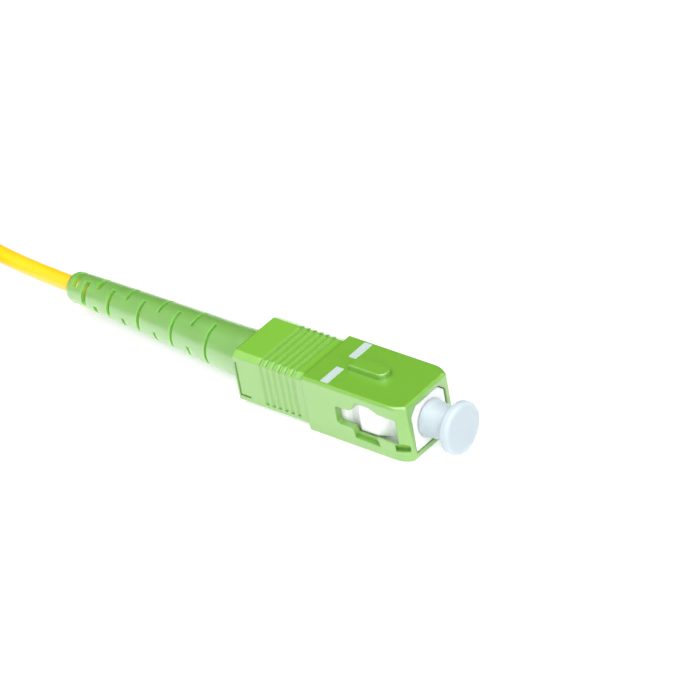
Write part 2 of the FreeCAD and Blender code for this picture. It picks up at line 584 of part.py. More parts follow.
xs = [D["boot_bend_at"], -25.6, -27.5, -29.5, -33.0, -38.0, -43.0, -48.0, D["boot_tip"] + 0.55]
front = Part.makeCylinder(D["boot_rad"] - 0.0, D["boot_front"] - D["boot_bend_at"] - 0.25, V(D["boot_bend_at"], 0, 0), V(1, 0, 0))
nose = Part.makeCone(D["boot_rad"], D["boot_rad"] - 0.25, 0.25, V(D["boot_front"] - 0.25, 0, 0), V(1, 0, 0))
tail = Part.makeLoft([hoop(x, boot_radius(x)) for x in xs], True, False)
rt = boot_radius(D["boot_tip"] + 0.55)
end1 = Part.makeLoft([hoop(D["boot_tip"] + 0.55, rt), hoop(D["boot_tip"] + 0.2, rt - 0.12)], True, True)
end2 = Part.makeLoft([hoop(D["boot_tip"] + 0.2, rt - 0.12), hoop(D["boot_tip"], rt - 0.42)], True, True)
boot = tail.fuse([front, nose, end1, end2]).removeSplitter()


def arc_tube(x_from, x_to, r, r_in=0.0):
    """A round bar or tube along the bent axis, from x_from back to x_to."""
    parts_ = []
    xa = x_from
    if x_from > XB:
        c = Part.makeCylinder(r, x_from - max(XB, x_to), V(max(XB, x_to), 0, 0), V(1, 0, 0))
        if r_in:
            c = c.cut(Part.makeCylinder(r_in, x_from - max(XB, x_to) + 2, V(max(XB, x_to) - 1, 0, 0), V(1, 0, 0)))
        parts_.append(c)
        xa = XB
    for x_a, x_b, centre, rad, sense in (
            (XB, XB - L1, V(XB, R, 0), R, -1.0),
            (XB - L1, -1000.0, bend_back_centre(), R2, 1.0)):
        x_a, x_b = min(xa, x_a), max(x_to, x_b)
        if x_b >= x_a - 1e-9:
            continue
        p, d = on_bend(x_a)
        face = Part.Face(Part.Wire([Part.makeCircle(r, p, d)]))
        if r_in:
            face = face.cut(Part.Face(Part.Wire([Part.makeCircle(r_in, p, d)])))
        solid = face.revolve(centre, V(0, 0, 1), sense * math.degrees((x_a - x_b) / rad))
        solid = solid.Solids[0] if solid.Solids else solid
        if solid.Volume < 0:
            solid.reverse()
        parts_.append(solid)
    out = parts_[0]
    for q in parts_[1:]:
        out = out.fuse(q)
    out = out.removeSplitter() if len(parts_) > 1 else out
    return out.Solids[0] if out.ShapeType == "Compound" and len(out.Solids) == 1 else out


boot = boot.cut(arc_tube(D["boot_front"] + 1, -28.7, 2.2))
boot = boot.cut(arc_tube(-28.0, D["boot_tip"] - 0.6, D["jacket_rad"] + 0.04))
# staggered flex slots: two opposite slots in each ring, turned a quarter from ring to ring
x = D["slot_first"]
v0 = boot.Volume
# step back from the ring before, extra width, half of the slot's turn
RINGS = [(0.0, 0.0, 58.0), (2.95, 0.0, 62.0), (2.75, 0.0, 54.0), (2.8, 0.0, 61.0), (2.7, 0.05, 50.0),
         (2.6, 0.05, 60.0), (2.4, 0.12, 47.0), (2.3, 0.24, 60.0), (1.85, 0.36, 46.0), (1.75, 0.4, 58.0)]
for i, (step, wider, half) in enumerate(RINGS):
    x -= step
    p, d = on_bend(x)
    r = boot_radius(x)
    w = D["slot_wide"] + wider
    inner = (r + D["jacket_rad"] + 0.04) / 2.0 - 0.12 if r > 2.4 else D["jacket_rad"] + 0.02
    if i >= 3:
        inner = D["jacket_rad"] + 0.02
    mid = 30.0 + (90.0 if i % 2 else 0.0)
    if i == len(RINGS) - 1:
        mid = 98.0
    for side in (0.0, 180.0):
        # angle is counted from the -y side up towards +z
        a0, a1 = math.radians(mid + side - half), math.radians(mid + side + half)
        pts = [V(0, -math.cos(a0) * inner, math.sin(a0) * inner)]
        outer = r + 0.8
        a_m = (a0 + a1) / 2
        q = [V(0, -math.cos(a) * inner, math.sin(a) * inner) for a in (a0, a_m, a1)]
        o = [V(0, -math.cos(a) * outer, math.sin(a) * outer) for a in (a0, a_m, a1)]
        wire_ = Part.Wire([Part.Arc(q[0], q[1], q[2]).toShape(), Part.LineSegment(q[2], o[2]).toShape(),
                           Part.Arc(o[2], o[1], o[0]).toShape(), Part.LineSegment(o[0], q[0]).toShape()])
        cutter = Part.Face(wire_).extrude(V(w, 0, 0))
        cutter.translate(V(-w / 2, 0, 0))
        turn_deg = -math.degrees(math.atan2(d.y, -d.x))
        cutter.rotate(V(0, 0, 0), V(0, 0, 1), turn_deg)
        cutter.translate(p)
        boot = boot.cut(cutter)
assert boot.Volume < v0 - 1.0
boot = boot.Solids[0] if len(boot.Solids) == 1 else boot
f = doc.addObject("Part::Feature", "boot")
f.Label = "boot"
f.Shape = boot
place(f, "boot", "axis_up")

f = doc.addObject("Part::Feature", "cable_jacket")
f.Label = "cable_jacket"
f.Shape = arc_tube(D["jacket_end"], D["boot_tip"], D["jacket_rad"], D["jacket_bore"])
place(f, "cable_jacket", "axis_up")

f = doc.addObject("Part::Feature", "tight_buffer")
f.Label = "tight_buffer"
f.Shape = arc_tube(-10.62, D["boot_tip"], D["buffer_rad"], 0.1)
place(f, "tight_buffer", "axis_up")

# ---------------------------------------------------------------- the free cable
# straight runs joined by tangent arcs, from the boot's tip to the hank
tip, back = on_bend(D["boot_tip"])
ROUTE = [
    V(tip.x, tip.y, 0.0),
    V(tip.x + 6.0 * back.x, tip.y + 6.0 * back.y, 0.0),
    V(-65.9, 2.0, -0.06),
    V(-72.0, 3.2, -0.30),
    V(-78.0, 4.05, -0.62),
]


def tube_path(route):
    edges, at, radii, total = [], route[0], [], 0.0
    for i in range(1, len(route) - 1):
        a, m, c = route[i - 1], route[i], route[i + 1]
        u = (a - m).normalize()
        w = (c - m).normalize()
        turn_ = math.pi - u.getAngle(w)
        short = min((a - m).Length, (c - m).Length)
        rad = 0.45 * short / math.tan(turn_ / 2)
        radii.append(rad)
        t0 = m + u * (0.45 * short)
        t1 = m + w * (0.45 * short)
        bis = (u + w).normalize()
        mid = m + bis * (rad / math.cos(turn_ / 2) - rad)
        edges.append(Part.LineSegment(at, t0).toShape())
        arc = Part.Arc(t0, mid, t1).toShape()
        edges.append(arc)
        at = t1
    edges.append(Part.LineSegment(at, route[-1]).toShape())
    return Part.Wire(edges), radii


wire_, radii = tube_path(ROUTE)
lead = wire_.makePipeShell([Part.Wire([Part.makeCircle(D["jacket_rad"], ROUTE[0], ROUTE[1] - ROUTE[0])])], True, False)
if lead.Volume < 0:
    lead.reverse()
print("route radii mm", [round(r, 1) for r in radii], "tube length", round(wire_.Length, 2),
      "volume", round(lead.Volume, 2), "section x length", round(math.pi * D["jacket_rad"] ** 2 * wire_.Length, 2))
print("route points m", [(round((q.x + D["datum_shift"]) / 1000, 5), round(q.y / 1000, 5), round((q.z + D["axis_up"]) / 1000, 5)) for q in ROUTE])
f = doc.addObject("Part::Feature", "cable_lead")
f.Label = "cable_lead"
f.Shape = lead
place(f, "cable_lead", "axis_up")

# hank: two bights tied at the waist, lying on the surface
HX, HY = -93.6, -4.0
top = 7.75


def hk(a, c, z=0.0):
    return V(HX + a, HY + c, z)


def rim(cx, deg, r=9.45):
    return hk(cx + r * math.cos(math.radians(deg)), r * math.sin(math.radians(deg)))


wire_ = Part.Wire([
    Part.Arc(rim(16, -115), rim(16, 0), rim(16, 115)).toShape(),
    Part.LineSegment(rim(16, 115), hk(3.5, 4.3)).toShape(),
    Part.LineSegment(hk(3.5, 4.3), hk(-3.5, 4.3)).toShape(),
    Part.LineSegment(hk(-3.5, 4.3), rim(-16, 65)).toShape(),
    Part.Arc(rim(-16, 65), rim(-16, 180), rim(-16, 295)).toShape(),
    Part.LineSegment(rim(-16, 295), hk(-3.5, -4.3)).toShape(),
    Part.LineSegment(hk(-3.5, -4.3), hk(3.5, -4.3)).toShape(),
    Part.LineSegment(hk(3.5, -4.3), rim(16, -115)).toShape()])
hank = Part.Face(wire_).extrude(V(0, 0, top))
tie = Part.makeBox(4.8, 9.4, 8.3, hk(-2.4, -4.7)).cut(Part.makeBox(6.0, 8.64, 7.58, hk(-3.0, -4.32, 0.36)))
hank = hank.cut(Part.makeBox(4.8, 12, 0.36, hk(-2.4, -6.0)))
end = ROUTE[-1]
stub = Part.makeCylinder(D["jacket_rad"], 4.0, V(end.x, end.y, end.z + D["axis_up"]), (ROUTE[-1] - ROUTE[-2]).normalize())
hank = hank.fuse(stub).removeSplitter()
lead_up = lead.copy()
lead_up.translate(V(0, 0, D["axis_up"]))
hank = hank.cut(lead_up)
hank = max(hank.Solids, key=lambda q: q.Volume)
tie = max(tie.Solids, key=lambda q: q.Volume)
for label, shape in (("cable_hank", hank), ("cable_tie", tie)):
    f = doc.addObject("Part::Feature", label)
    f.Label = label
    f.Shape = shape
    place(f, label)

# ---------------------------------------------------------------- checks and export
doc.recompute()
bad = [(o.Name, o.State) for o in doc.Objects if "Invalid" in o.State or "Error" in o.State]
assert not bad, bad
for label, o in NODES.items():
    sh = o.Shape
    assert not sh.isNull() and sh.isValid() and sh.Volume > 0, label
    assert len(sh.Solids) == 1, (label, len(sh.Solids))
    bb = sh.optimalBoundingBox(False)
    print("%-16s vol %8.3f  x %.2f..%.2f  y %.2f..%.2f  z %.2f..%.2f" % (label, sh.Volume, bb.XMin, bb.XMax, bb.YMin, bb.YMax, bb.ZMin, bb.ZMax))
for label, o in NODES.items():
    o.Shape.exportStep("parts/%s.step" % label)
print("wrote", len(NODES), "parts")
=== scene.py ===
import bpy, bmesh, math
from mathutils import Matrix, Vector


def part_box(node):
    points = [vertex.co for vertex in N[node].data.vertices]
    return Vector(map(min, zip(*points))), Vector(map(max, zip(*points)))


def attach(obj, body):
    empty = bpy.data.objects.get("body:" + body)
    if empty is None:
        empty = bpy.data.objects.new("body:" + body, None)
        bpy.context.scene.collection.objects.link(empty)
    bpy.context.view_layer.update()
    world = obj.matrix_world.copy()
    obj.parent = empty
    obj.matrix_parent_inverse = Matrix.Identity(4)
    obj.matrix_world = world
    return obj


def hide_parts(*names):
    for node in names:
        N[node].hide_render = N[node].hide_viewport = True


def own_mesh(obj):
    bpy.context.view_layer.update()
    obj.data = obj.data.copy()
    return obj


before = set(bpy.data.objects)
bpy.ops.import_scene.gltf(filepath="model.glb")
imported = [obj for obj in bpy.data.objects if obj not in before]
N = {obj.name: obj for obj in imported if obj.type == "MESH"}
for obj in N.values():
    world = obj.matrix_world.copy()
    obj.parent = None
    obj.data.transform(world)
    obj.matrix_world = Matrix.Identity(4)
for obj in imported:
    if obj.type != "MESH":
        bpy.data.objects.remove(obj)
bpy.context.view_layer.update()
scene = bpy.context.scene
MM = 0.001

# ------------------------------------------------------------------ camera
cam_data = bpy.data.cameras.new("camera")
cam_data.sensor_width = 36.0
cam_data.lens = 230.913
cam_data.clip_start = 0.01
cam_data.clip_end = 20.0
cam = bpy.data.objects.new("camera", cam_data)
scene.collection.objects.link(cam)
xr = Vector((0.77103114, 0.61854955, -0.15135204))
yr = Vector((-0.26471694, 0.52750079, 0.80725947))
zr = xr.cross(yr)
rot = Matrix((xr, yr, zr)).transposed().to_4x4()
cam.matrix_world = Matrix.Translation(Vector((0.284007, -0.288697, 0.292261))) @ rot
scene.camera = cam

scene.view_settings.view_transform = "Standard"

# ------------------------------------------------------------------ the cable
# its route from the boot's tip, then the turns of the tied hank, in millimetres
ROUTE = [
    (-46.82, 1.18, 3.70), (-52.82, 1.36, 3.70), (-58.90, 2.00, 3.64), (-65.00, 3.20, 3.40), (-71.00, 4.05, 3.08),
]
TURNS = [
    (-73.53, 3.82, 2.80), (-76.26, 2.66, 2.81), (-78.56, 0.85, 3.23), (-81.18, -0.49, 3.51),
    (-84.08, -0.76, 3.82), (-87.02, -0.76, 3.65), (-89.91, -0.76, 3.36), (-92.54, 0.53, 3.14),
    (-95.12, 2.02, 3.04), (-97.67, 3.57, 3.03), (-100.50, 4.58, 3.12), (-103.48, 4.58, 3.22),
    (-106.34, 3.73, 3.20), (-108.66, 1.84, 3.18), (-110.19, -0.72, 3.15), (-110.68, -3.66, 3.12),
    (-110.09, -6.56, 3.11), (-108.55, -9.03, 3.10), (-106.23, -10.83, 3.10), (-103.43, -11.74, 3.07),
    (-100.48, -11.67, 3.09), (-97.63, -10.86, 3.15), (-94.87, -9.71, 3.07), (-92.13, -8.55, 3.08),
    (-89.47, -7.24, 3.08), (-86.47, -7.24, 3.09), (-83.48, -6.90, 3.09), (-80.55, -7.34, 3.11),
    (-78.02, -8.97, 3.13), (-75.53, -10.71, 3.12), (-72.67, -11.69, 3.09), (-69.69, -11.99, 3.08),
    (-66.79, -11.26, 3.07), (-64.38, -9.46, 3.02), (-62.77, -6.95, 2.95), (-62.21, -4.03, 2.75),
    (-62.63, -1.08, 2.38), (-64.21, 1.38, 1.76), (-66.59, 3.04, 1.24), (-69.47, 3.61, 1.04),
    (-72.40, 3.05, 1.04), (-75.16, 1.91, 1.04), (-77.87, 0.67, 1.04), (-80.82, 0.36, 1.04),
    (-83.55, -0.76, 1.04), (-86.51, -0.76, 1.04), (-89.47, -0.76, 1.04), (-92.33, -0.09, 1.04),
    (-95.19, 0.68, 1.04), (-97.57, 2.48, 1.04), (-100.29, 3.69, 1.04), (-103.25, 3.77, 1.04),
    (-106.10, 3.24, 1.04), (-108.58, 1.74, 1.04), (-110.25, -0.70, 1.04), (-110.97, -3.59, 1.04),
    (-110.56, -6.54, 1.04), (-109.07, -9.13, 1.04), (-106.79, -11.06, 1.04), (-104.04, -12.11, 1.04),
    (-101.11, -12.22, 1.04), (-98.27, -11.23, 1.04), (-95.78, -9.55, 1.04), (-93.01, -8.44, 1.04),
    (-90.31, -7.24, 1.04), (-87.34, -7.24, 1.04), (-84.38, -7.24, 1.04), (-81.46, -7.24, 1.04),
    (-78.76, -8.52, 1.04), (-76.15, -9.99, 1.04), (-73.49, -11.23, 1.04), (-70.55, -11.58, 1.04),
    (-67.64, -11.04, 1.04), (-65.24, -9.34, 1.04), (-63.82, -6.81, 1.04), (-63.65, -3.94, 1.04),
    (-64.81, -1.25, 1.04), (-67.03, 0.62, 1.04), (-69.80, 1.34, 1.04), (-72.67, 0.82, 1.04),
    (-75.17, -0.77, 1.04), (-77.54, -2.58, 1.04), (-80.29, -3.59, 1.04), (-83.23, -3.36, 1.04),
    (-86.23, -3.41, 1.04), (-89.23, -3.50, 1.04), (-92.22, -3.43, 1.04), (-94.89, -2.09, 1.04),
    (-97.32, -0.30, 1.04), (-99.82, 1.36, 1.04), (-102.76, 1.79, 1.04), (-105.53, 0.91, 1.04),
    (-107.58, -1.09, 1.04), (-108.49, -3.89, 1.04), (-107.93, -6.80, 1.04), (-106.04, -9.06, 1.04),
    (-103.39, -10.15, 1.04), (-100.47, -9.96, 1.04), (-97.83, -8.48, 1.04), (-95.42, -6.69, 1.04),
    (-92.66, -5.64, 1.04), (-89.69, -5.35, 1.04), (-86.70, -5.35, 1.04), (-83.72, -5.32, 1.04),
    (-80.77, -5.40, 1.04), (-77.99, -6.36, 1.04), (-75.47, -7.92, 1.04), (-72.83, -9.31, 1.04),
    (-69.89, -9.45, 1.04), (-67.26, -8.40, 1.55), (-65.44, -6.27, 2.23), (-64.90, -3.44, 2.83),
    (-65.76, -0.77, 3.12), (-67.79, 1.21, 3.11), (-70.60, 2.10, 2.97), (-73.52, 1.68, 2.86),
    (-76.00, 0.08, 2.96), (-78.42, -1.58, 2.72), (-81.25, -2.07, 2.26), (-84.15, -2.04, 2.40),
    (-87.14, -2.13, 2.35), (-90.15, -2.20, 2.28), (-93.06, -1.84, 2.87), (-95.63, -0.28, 3.06),
    (-98.09, 1.48, 2.83), (-100.91, 2.56, 2.99), (-103.87, 2.48, 2.96), (-106.50, 1.13, 3.00),
    (-108.22, -1.27, 3.05), (-108.60, -4.20, 3.12), (-107.61, -6.91, 3.20), (-105.52, -8.88, 3.26),
    (-102.72, -9.77, 3.28), (-99.84, -9.41, 3.23), (-97.11, -8.34, 3.12), (-94.46, -7.03, 3.01),
    (-91.81, -5.82, 3.12), (-88.88, -5.46, 3.02), (-85.92, -5.06, 2.86), (-83.05, -4.21, 2.77),
    (-80.17, -4.61, 2.92), (-77.71, -6.20, 3.15), (-75.59, -8.32, 3.17), (-72.79, -9.31, 3.08),
    (-70.02, -9.05, 3.11), (-67.62, -7.73, 3.59), (-65.98, -5.38, 4.37), (-65.66, -2.53, 5.00),
    (-66.67, 0.14, 5.22), (-68.79, 2.07, 5.09), (-71.52, 2.82, 4.89), (-74.40, 2.29, 4.78),
    (-76.85, 0.54, 4.85), (-79.00, -1.52, 4.76), (-81.67, -2.74, 4.24), (-84.63, -3.06, 4.02),
    (-87.58, -3.50, 3.61), (-90.50, -3.82, 3.42), (-93.36, -3.70, 3.97), (-95.92, -2.39, 4.41),
    (-98.14, -0.58, 3.95), (-100.82, 0.52, 3.62), (-103.62, 0.52, 3.85), (-106.18, -0.70, 4.45),
    (-107.78, -2.91, 5.03), (-108.11, -5.67, 5.41), (-106.96, -8.35, 5.55), (-104.62, -10.15, 5.50),
    (-101.73, -10.64, 5.44), (-98.87, -9.83, 5.34), (-96.50, -7.99, 5.17), (-93.95, -6.45, 5.18),
    (-91.27, -5.23, 5.14), (-88.29, -5.24, 5.04), (-85.34, -5.50, 4.66), (-82.40, -5.32, 4.42),
    (-79.60, -5.67, 5.04), (-77.06, -7.16, 5.27), (-74.49, -8.61, 5.28), (-71.78, -9.74, 5.09),
    (-68.86, -9.79, 5.04), (-66.22, -8.64, 5.06), (-64.25, -6.43, 4.87), (-63.42, -3.57, 4.66),
    (-63.79, -0.76, 4.74), (-65.25, 1.68, 5.12), (-67.48, 3.69, 5.49), (-70.30, 4.58, 5.75),
    (-73.23, 4.58, 5.66), (-76.06, 3.64, 5.41), (-78.47, 1.80, 5.33), (-80.59, -0.32, 5.56),
    (-83.29, -1.61, 5.51), (-86.26, -1.90, 5.38), (-89.10, -0.95, 5.32), (-92.03, -0.30, 5.29),
    (-94.59, 1.20, 5.14), (-97.05, 2.86, 5.06), (-99.89, 3.59, 5.07), (-102.80, 3.63, 5.13),
    (-105.69, 3.04, 5.18), (-108.22, 1.55, 5.23), (-109.98, -0.79, 5.24), (-110.67, -3.67, 5.22),
    (-110.27, -6.62, 5.21), (-108.91, -9.27, 5.18), (-106.74, -11.33, 5.12), (-103.99, -12.46, 5.02),
    (-101.00, -12.46, 5.02), (-98.07, -11.85, 5.16), (-95.68, -10.05, 5.19), (-93.14, -8.47, 5.11),
    (-90.46, -7.24, 5.10), (-87.48, -7.24, 5.13), (-84.49, -7.24, 5.14), (-81.54, -7.24, 5.16),
    (-78.81, -8.51, 5.23), (-76.31, -10.21, 5.21), (-73.52, -11.41, 5.17), (-70.55, -11.98, 5.16),
    (-67.56, -11.59, 5.16), (-64.88, -10.21, 5.32), (-62.97, -7.95, 5.83), (-62.21, -5.06, 6.30),
    (-62.74, -2.11, 6.64), (-64.31, 0.35, 7.05), (-66.60, 2.17, 7.30), (-69.49, 3.00, 7.29),
    (-72.44, 3.00, 7.25), (-75.31, 2.50, 7.30), (-78.13, 1.62, 7.50), (-80.90, 0.51, 7.50),
    (-83.55, -0.76, 7.15), (-86.48, -0.76, 7.15), (-89.43, -0.76, 7.15), (-92.29, -0.62, 7.50),
    (-94.93, 0.64, 7.46), (-97.23, 2.50, 7.28), (-99.80, 3.98, 7.13), (-102.72, 4.54, 7.09),
    (-105.63, 3.98, 7.14), (-108.21, 2.48, 7.22), (-110.21, 0.27, 7.20), (-111.08, -2.59, 7.26),
    (-110.66, -5.53, 7.32), (-109.04, -8.03, 7.29), (-106.96, -10.17, 7.25), (-104.51, -11.80, 7.20),
    (-101.67, -12.42, 7.21), (-98.73, -12.05, 7.25), (-96.10, -10.65, 7.28), (-93.97, -8.57, 7.23),
    (-91.33, -7.24, 7.15), (-88.37, -7.16, 7.15), (-85.38, -7.24, 7.15), (-82.39, -7.24, 7.15),
    (-79.66, -8.54, 7.41), (-77.39, -10.54, 7.42), (-74.81, -12.15, 7.50), (-71.83, -12.46, 7.50),
    (-68.88, -12.34, 7.50), (-66.31, -10.93, 7.49), (-64.59, -8.59, 7.47), (-63.99, -5.62, 7.50),
    (-64.71, -2.71, 7.50), (-66.47, -0.47, 7.41), (-68.89, 0.85, 6.90), (-71.61, 1.05, 6.02),
    (-74.22, 0.02, 5.31), (-76.30, -1.99, 5.14), (-78.76, -3.42, 5.89), (-81.64, -3.90, 5.94),
    (-84.59, -3.92, 5.71), (-87.58, -3.61, 5.59), (-90.31, -2.69, 5.07), (-93.15, -2.22, 5.52),
    (-95.52, -0.62, 5.91), (-97.82, 0.96, 5.37), (-100.60, 1.63, 5.41), (-103.26, 1.21, 5.81),
    (-105.62, -0.36, 6.44), (-107.06, -2.89, 7.00), (-107.15, -5.79, 7.35), (-105.97, -8.25, 7.50),
    (-103.75, -9.91, 7.50), (-100.89, -10.39, 7.50), (-98.05, -9.52, 7.42), (-95.85, -7.51, 7.24),
    (-93.47, -5.76, 7.43), (-90.58, -5.10, 7.15), (-87.58, -5.06, 7.15), (-84.59, -5.26, 7.15),
    (-81.64, -5.36, 7.15), (-78.91, -6.30, 7.47), (-76.80, -8.14, 7.33), (-74.57, -9.94, 6.97),
    (-71.81, -10.69, 6.92), (-69.09, -10.23, 7.09), (-67.01, -8.55, 7.26), (-66.13, -5.85, 7.41),
    (-66.90, -3.14, 7.49), (-68.77, -1.34, 7.50), (-71.51, -0.42, 7.50), (-74.42, -0.72, 7.50),
    (-77.25, -0.65, 7.23), (-79.96, -1.65, 7.50), (-82.68, -2.56, 7.15), (-85.62, -2.76, 7.15),
    (-88.60, -2.63, 7.15), (-91.48, -3.38, 7.15), (-94.35, -2.91, 7.50), (-96.77, -1.31, 7.50),
    (-98.60, 1.01, 7.50), (-101.30, 2.33, 7.50), (-104.05, 2.36, 7.50), (-106.67, 1.07, 7.50),
    (-108.37, -1.18, 7.50), (-109.35, -2.52, 7.50),
]
CABLE_R = 1.05 * MM

cu = bpy.data.curves.new("pigtail_cable", "CURVE")
cu.dimensions = "3D"
sp = cu.splines.new("NURBS")
pts = [Vector(p) * MM for p in ROUTE + TURNS]
sp.points.add(len(pts) - 1)
for q, p in zip(sp.points, pts):
    q.co = (*p, 1.0)
    q.radius = 0.001
sp.order_u = 3
sp.use_endpoint_u = True
sp.resolution_u = 4
cu.bevel_depth = CABLE_R * 1000.0  # each point has a radius of 0.001, so that the curve's box is the cable's own
cu.bevel_resolution = 5
cu.use_fill_caps = True
cable = bpy.data.objects.new("pigtail_cable", cu)
scene.collection.objects.link(cable)
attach(cable, "frame_and_cable")
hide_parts("cable_lead", "cable_hank")

# the centreline that the cable really follows, for the pieces at its far end
bare = cable.copy()
bare.data = cu.copy()
bare.data.bevel_depth = 0.0
bare.data.use_fill_caps = False
scene.collection.objects.link(bare)
line = bpy.data.meshes.new_from_object(bare)
track = [v.co.copy() for v in line.vertices]
bpy.data.objects.remove(bare)
bpy.data.meshes.remove(line)
end = track[-1]
along = (track[-1] - track[-3]).normalized()


def piece(name, mesh, body, mats, smooth=True):
    o = bpy.data.objects.new(name, mesh)
    scene.collection.objects.link(o)
    for m in mats:
        mesh.materials.append(m)
    if smooth:
        for p in mesh.polygons:
            p.use_smooth = True
    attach(o, body)
    return o


def lathe(bm, origin, direction, profile, seg=32, mat=0):
    """A turned form: profile is (distance along, radius) pairs, closed at both ends."""
    d = direction.normalized()
    u = d.orthogonal().normalized()
    w = d.cross(u)
    rings = []
    for s, r in profile:
        if r <= 0:
            rings.append([bm.verts.new(origin + d * s)])
        else:
            rings.append([bm.verts.new(origin + d * s + (u * math.cos(2 * math.pi * k / seg) + w * math.sin(2 * math.pi * k / seg)) * r)
                          for k in range(seg)])
    for a, b in zip(rings, rings[1:]):
        for k in range(seg):
            k2 = (k + 1) % seg
            if len(a) == 1 and len(b) == 1:
                continue
            if len(a) == 1:
                f = bm.faces.new((a[0], b[k], b[k2]))
            elif len(b) == 1:
                f = bm.faces.new((a[k], b[0], a[k2]))
            else:
                f = bm.faces.new((a[k], b[k], b[k2], a[k2]))
            f.material_index = mat


def to_mesh(bm, name):
    bmesh.ops.recalc_face_normals(bm, faces=bm.faces[:])
    me = bpy.data.meshes.new(name)
    bm.to_mesh(me)
    bm.free()
    return me


# ------------------------------------------------------------------ node material helpers


class Mat:
    """A small builder for node materials in object space, lengths in metres."""

    def __init__(self, name):
        self.m = bpy.data.materials.new(name)
        self.m.use_nodes = True
        self.t = self.m.node_tree
        self.t.nodes.clear()
        self.out = self.t.nodes.new("ShaderNodeOutputMaterial")
        self.p = self.t.nodes.new("ShaderNodeBsdfPrincipled")
        self.t.links.new(self.p.outputs["BSDF"], self.out.inputs["Surface"])
        self.coord = self.t.nodes.new("ShaderNodeTexCoord").outputs["Object"]

    def set(self, **kw):
        for k, v in kw.items():
            self.p.inputs[k.replace("_", " ")].default_value = v
        return self

    def link(self, a, b):
        self.t.links.new(a, b)

    def noise(self, scale, detail=3.0, rough=0.55, distort=0.0, vec=None):
        n = self.t.nodes.new("ShaderNodeTexNoise")
        n.inputs["Scale"].default_value = scale
        n.inputs["Detail"].default_value = detail
        n.inputs["Roughness"].default_value = rough
        n.inputs["Distortion"].default_value = distort
        self.link(vec or self.coord, n.inputs["Vector"])
        return n.outputs["Fac"]

    def voronoi(self, scale, vec=None, feature="F1"):
        n = self.t.nodes.new("ShaderNodeTexVoronoi")
        n.feature = feature
        n.inputs["Scale"].default_value = scale
        self.link(vec or self.coord, n.inputs["Vector"])
        return n.outputs["Distance"]

    def scaled(self, s, vec=None, rot=(0, 0, 0), loc=(0, 0, 0)):
        n = self.t.nodes.new("ShaderNodeMapping")
        n.inputs["Scale"].default_value = s
        n.inputs["Rotation"].default_value = rot
        n.inputs["Location"].default_value = loc
        self.link(vec or self.coord, n.inputs["Vector"])
        return n.outputs["Vector"]

    def ramp(self, fac, stops, interp="LINEAR"):
        n = self.t.nodes.new("ShaderNodeValToRGB")
        n.color_ramp.interpolation = interp
        e = n.color_ramp.elements
        while len(e) < len(stops):
            e.new(0.5)
        for el, (pos, col) in zip(e, stops):
            el.position = pos
            el.color = (*col, 1.0) if len(col) == 3 else col
        self.link(fac, n.inputs["Fac"])
        return n.outputs["Color"]

    def span(self, fac, lo, hi, a=0.0, b=1.0):
        n = self.t.nodes.new("ShaderNodeMapRange")
        n.inputs["From Min"].default_value = lo
        n.inputs["From Max"].default_value = hi
        n.inputs["To Min"].default_value = a
        n.inputs["To Max"].default_value = b
        self.link(fac, n.inputs["Value"])
        return n.outputs["Result"]

    def math(self, op, a, b=None, c=None, clamp=False):
        n = self.t.nodes.new("ShaderNodeMath")
        n.operation = op
        n.use_clamp = clamp
        for i, v in enumerate((a, b, c)):
            if v is None:
                continue
            if isinstance(v, (int, float)):
                n.inputs[i].default_value = v
            else:
                self.link(v, n.inputs[i])
        return n.outputs[0]

    def mix(self, fac, a, b, kind="MIX"):
        n = self.t.nodes.new("ShaderNodeMix")
        n.data_type = "RGBA"
        n.blend_type = kind
        for name, kind_, v in (("Factor", "VALUE", fac), ("A", "RGBA", a), ("B", "RGBA", b)):
            sock = [s for s in n.inputs if s.name == name and s.type == kind_][0]
            if isinstance(v, (int, float)):
                sock.default_value = v
            elif isinstance(v, tuple):
                sock.default_value = (*v, 1.0)
            else:
                self.link(v, sock)
        return [s for s in n.outputs if s.type == "RGBA"][0]

    def bump(self, height, strength, distance, normal=None):
        n = self.t.nodes.new("ShaderNodeBump")
        n.inputs["Strength"].default_value = strength
        n.inputs["Distance"].default_value = distance
        self.link(height, n.inputs["Height"])
        if normal is not None:
            self.link(normal, n.inputs["Normal"])
        return n.outputs["Normal"]

    def rounded(self, radius, samples=4):
        """The normal of edges softened over a radius, as moulded edges are."""
        n = self.t.nodes.new("ShaderNodeBevel")
        n.samples = samples
        n.inputs["Radius"].default_value = radius
        return n.outputs["Normal"]

    def edge(self, soft):
        """0 on flat faces, rising to 1 on edges."""
        g = self.t.nodes.new("ShaderNodeNewGeometry").outputs["True Normal"]
        n = self.t.nodes.new("ShaderNodeVectorMath")
        n.operation = "DOT_PRODUCT"
        self.link(soft, n.inputs[0])
        self.link(g, n.inputs[1])
        return self.span(n.outputs["Value"], 0.995, 0.80, 0.0, 1.0)

    def recess(self, reach, power=1.15, samples=6):
        """Ambient occlusion of the piece itself: 1 in the open, falling towards 0 far inside its own grooves and
        pockets; the mask for painted shade and painted light in hollows.
        """
        n = self.t.nodes.new("ShaderNodeAmbientOcclusion")
        n.samples = samples
        n.only_local = True
        n.inputs["Distance"].default_value = reach
        return self.math("POWER", n.outputs["AO"], power)

    def axis(self, which):
        if not hasattr(self, "_sep"):
            self._sep = self.t.nodes.new("ShaderNodeSeparateXYZ")
            self.link(self.coord, self._sep.inputs[0])
        return self._sep.outputs[which]

    def color(self, sock):
        self.link(sock, self.p.inputs["Base Color"])

    def rough(self, sock):
        self.link(sock, self.p.inputs["Roughness"])

    def normal(self, sock):
        self.link(sock, self.p.inputs["Normal"])


def tint(rgb, k, add=0.0):
    return tuple(min(1.0, c * k + add) for c in rgb)


